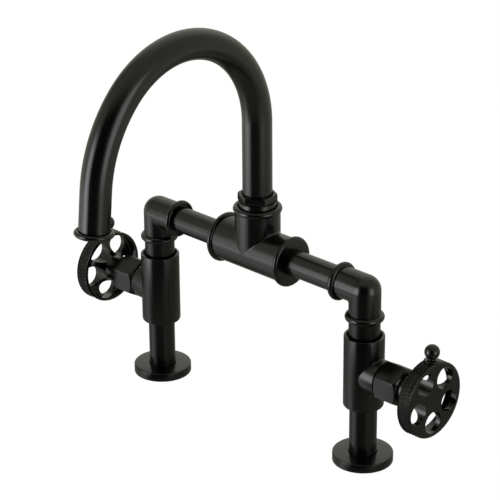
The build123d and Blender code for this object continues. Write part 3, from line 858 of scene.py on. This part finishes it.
add_pair("deck_flange", deck_flange(), "black_metal")
add_pair("valve_body", valve_body(), "black_metal")
add_pair("elbow", elbow(), "black_metal")
add_pair("handle_hub", handle_hub(), "black_metal", moving=True)
add_pair("handle_wheel", along_x(joined(wheel_web(), knurled_rim()), HANDLE_Z), "black_knurled", moving=True)
add_pair("wheel_knob", wheel_knob(), "black_metal", moving=True)
add_pair("supply_shank", supply_shank(), "raw_brass")
add_pair("mounting_nut", mounting_nut(), "raw_brass")
add_piece("tee_look", tee(), "black_metal", "frame", "tee")
add_piece("spout_nut_look", spout_nut(), "black_metal", "frame", "spout_nut")
add_piece("spout_tube_look", spout_tube(), "black_metal", "spout", "spout_tube")
add_piece("outlet_ring_look", outlet_ring(), "black_metal", "spout", "outlet_ring")

# Camera at the photograph's angle

CAMERA_AZIMUTH = 44.19
CAMERA_ELEVATION = 24.01
CAMERA_ROLL = -0.45
CAMERA_DISTANCE = 1.614
CAMERA_TARGET = Vector((-0.0078, 0.0, 0.1282))
FOCAL_PIXELS = 2257.0
PHOTO_PIXELS = 500.0


def add_camera():
    """Camera that looks at the target from an azimuth and elevation, with a small roll."""
    data = bpy.data.cameras.new("camera")
    data.sensor_width = 36.0
    data.lens = data.sensor_width * FOCAL_PIXELS / PHOTO_PIXELS
    data.clip_start = 0.05
    data.clip_end = 50.0
    camera = bpy.data.objects.new("camera", data)
    bpy.context.scene.collection.objects.link(camera)
    a, e = math.radians(CAMERA_AZIMUTH), math.radians(CAMERA_ELEVATION)
    back = Vector((math.sin(a) * math.cos(e), -math.cos(a) * math.cos(e), math.sin(e)))
    right = Vector((math.cos(a), math.sin(a), 0))
    above = back.cross(right)
    roll = math.radians(CAMERA_ROLL)
    side = right * math.cos(roll) + above * math.sin(roll)
    top = above * math.cos(roll) - right * math.sin(roll)
    camera.matrix_world = Matrix.Translation(CAMERA_TARGET + back * CAMERA_DISTANCE) @ Matrix(
        (side, top, back)).transposed().to_4x4()
    bpy.context.scene.camera = camera


add_camera()

# Floor and light

FLOOR_SIZE = 12.0
FLOOR_GLOW = 0.97
SHADE_SIZE = (0.40, 0.34)
SHADE_EDGE = (0.7, 1.5)
SHADE = 0.62


def vector_math(tree, operation, first, second=None):
    """Vector node; what is not a socket is a constant."""
    node = tree.nodes.new("ShaderNodeVectorMath")
    node.operation = operation
    tree.links.new(first, node.inputs[0])
    if second is not None:
        node.inputs[1].default_value = second
    return node.outputs["Value" if operation in ("DOT_PRODUCT", "LENGTH") else "Vector"]


def number_math(tree, operation, *values):
    """Number node whose inputs are sockets or constants."""
    node = tree.nodes.new("ShaderNodeMath")
    node.operation = operation
    for socket, value in zip(node.inputs, values):
        if isinstance(value, (int, float)):
            socket.default_value = value
        else:
            tree.links.new(value, socket)
    return node.outputs["Value"]


def smooth_step(tree, value, start, end):
    """Smooth rise from 0 to 1 while a value goes from start to end."""
    node = tree.nodes.new("ShaderNodeMapRange")
    node.interpolation_type = "SMOOTHSTEP"
    node.inputs["From Min"].default_value = start
    node.inputs["From Max"].default_value = end
    tree.links.new(value, node.inputs["Value"])
    return node.outputs["Result"]


def add_floor():
    """Plain white floor; in reflections it is clear, but for the object's own shade around it."""
    corners = [(x * FLOOR_SIZE / 2, y * FLOOR_SIZE / 2, 0) for x, y in ((-1, -1), (1, -1), (1, 1), (-1, 1))]
    mesh = bpy.data.meshes.new("floor")
    mesh.from_pydata(corners, [], [(0, 1, 2, 3)])
    material, tree, shader = new_material("white_floor", Roughness=0.9)
    shader.inputs["Specular IOR Level"].default_value = 0.0
    tree.links.new(ramp(tree, noise(tree, 300.0), (0.07, 0.07, 0.07), (0.09, 0.09, 0.09)),
                   shader.inputs["Base Color"])
    shader.inputs["Emission Color"].default_value = (1, 1, 1, 1)
    shader.inputs["Emission Strength"].default_value = FLOOR_GLOW
    place = tree.nodes.new("ShaderNodeTexCoord").outputs["Object"]
    scaled = vector_math(tree, "MULTIPLY", place, (1 / SHADE_SIZE[0], 1 / SHADE_SIZE[1], 0))
    lit = smooth_step(tree, vector_math(tree, "LENGTH", scaled), *SHADE_EDGE)
    clear = tree.nodes.new("ShaderNodeBsdfTransparent")
    tree.links.new(number_math(tree, "MULTIPLY_ADD", lit, SHADE, 1 - SHADE), clear.inputs["Color"])
    rays = tree.nodes.new("ShaderNodeLightPath")
    both = tree.nodes.new("ShaderNodeMixShader")
    tree.links.new(rays.outputs["Is Glossy Ray"], both.inputs[0])
    tree.links.new(shader.outputs["BSDF"], both.inputs[1])
    tree.links.new(clear.outputs["BSDF"], both.inputs[2])
    tree.links.new(both.outputs["Shader"], tree.nodes["Material Output"].inputs["Surface"])
    mesh.materials.append(material)
    floor = bpy.data.objects.new("floor", mesh)
    bpy.context.scene.collection.objects.link(floor)


# Soft light panels of the surroundings: azimuth, half width and softness in degrees, lowest and
# highest height of the view direction, how softly they end there, and how much light they add.
# Those below nought take light away. A separate script fitted these values to the photograph's
# brightness; they were then rounded, and some were changed by hand.
PANELS = (
    (27.0, 37.0, 15.0, -0.52, 0.72, 0.26, -0.62),
    (-22.5, 13.5, 6.5, -0.35, 0.35, 0.14, 3.8),
    (-42.0, 13.0, 9.0, -0.80, -0.22, 0.10, 1.5),
    (90.0, 12.5, 6.0, -0.28, 0.38, 0.08, 1.9),
    (71.5, 18.0, 11.0, -0.47, -0.42, 0.15, 0.55),
    (-82.6, 9.0, 12.0, -0.23, 0.80, 0.31, -0.22),
    (-149.0, 35.0, 17.0, 0.19, 0.98, 0.24, 0.30),
    (-67.6, 17.0, 16.0, -0.80, 0.23, 0.18, 0.32),
)
AMBIENT = 0.55
DARKEST = 0.01
WARM = (0.98, 1.0, 0.82)
WARM_BELOW = 0.6


def add_world():
    """White surroundings for the camera; in reflections a dark front between soft light panels."""
    world = bpy.data.worlds.new("studio")
    bpy.context.scene.world = world
    world.use_nodes = True
    tree = world.node_tree
    tree.nodes.clear()
    view = tree.nodes.new("ShaderNodeTexCoord").outputs["Generated"]
    split = tree.nodes.new("ShaderNodeSeparateXYZ")
    tree.links.new(view, split.inputs["Vector"])
    height = split.outputs["Z"]
    level = vector_math(tree, "NORMALIZE", vector_math(tree, "MULTIPLY", view, (1, 1, 0)))
    light = AMBIENT
    for azimuth, half_width, soft, low, high, fade, strength in PANELS:
        turn = math.radians(azimuth)
        near = vector_math(tree, "DOT_PRODUCT", level, (math.sin(turn), -math.cos(turn), 0))
        outer = math.cos(math.radians(half_width + soft))
        inner = math.cos(math.radians(max(half_width - soft, 0)))
        panel = smooth_step(tree, near, outer, inner)
        panel = number_math(tree, "MULTIPLY", panel, smooth_step(tree, height, low - fade, low + fade))
        panel = number_math(tree, "MULTIPLY", panel, smooth_step(tree, height, high + fade, high - fade))
        light = number_math(tree, "ADD", number_math(tree, "MULTIPLY", panel, strength), light)
    light = number_math(tree, "MAXIMUM", light, DARKEST)
    rays = tree.nodes.new("ShaderNodeLightPath")
    picked = tree.nodes.new("ShaderNodeMix")
    picked.data_type = "FLOAT"
    tree.links.new(rays.outputs["Is Camera Ray"], picked.inputs[0])
    tree.links.new(light, picked.inputs[2])
    picked.inputs[3].default_value = 1.0
    back = tree.nodes.new("ShaderNodeBackground")
    colour = ramp(tree, picked.outputs[0], WARM, (1, 1, 1), WARM_BELOW, 1.0)
    tree.links.new(colour, back.inputs["Color"])
    tree.links.new(picked.outputs[0], back.inputs["Strength"])
    out = tree.nodes.new("ShaderNodeOutputWorld")
    tree.links.new(back.outputs["Background"], out.inputs["Surface"])


add_floor()
add_world()
bpy.context.scene.view_settings.view_transform = "Standard"
bpy.context.scene.view_settings.look = "None"
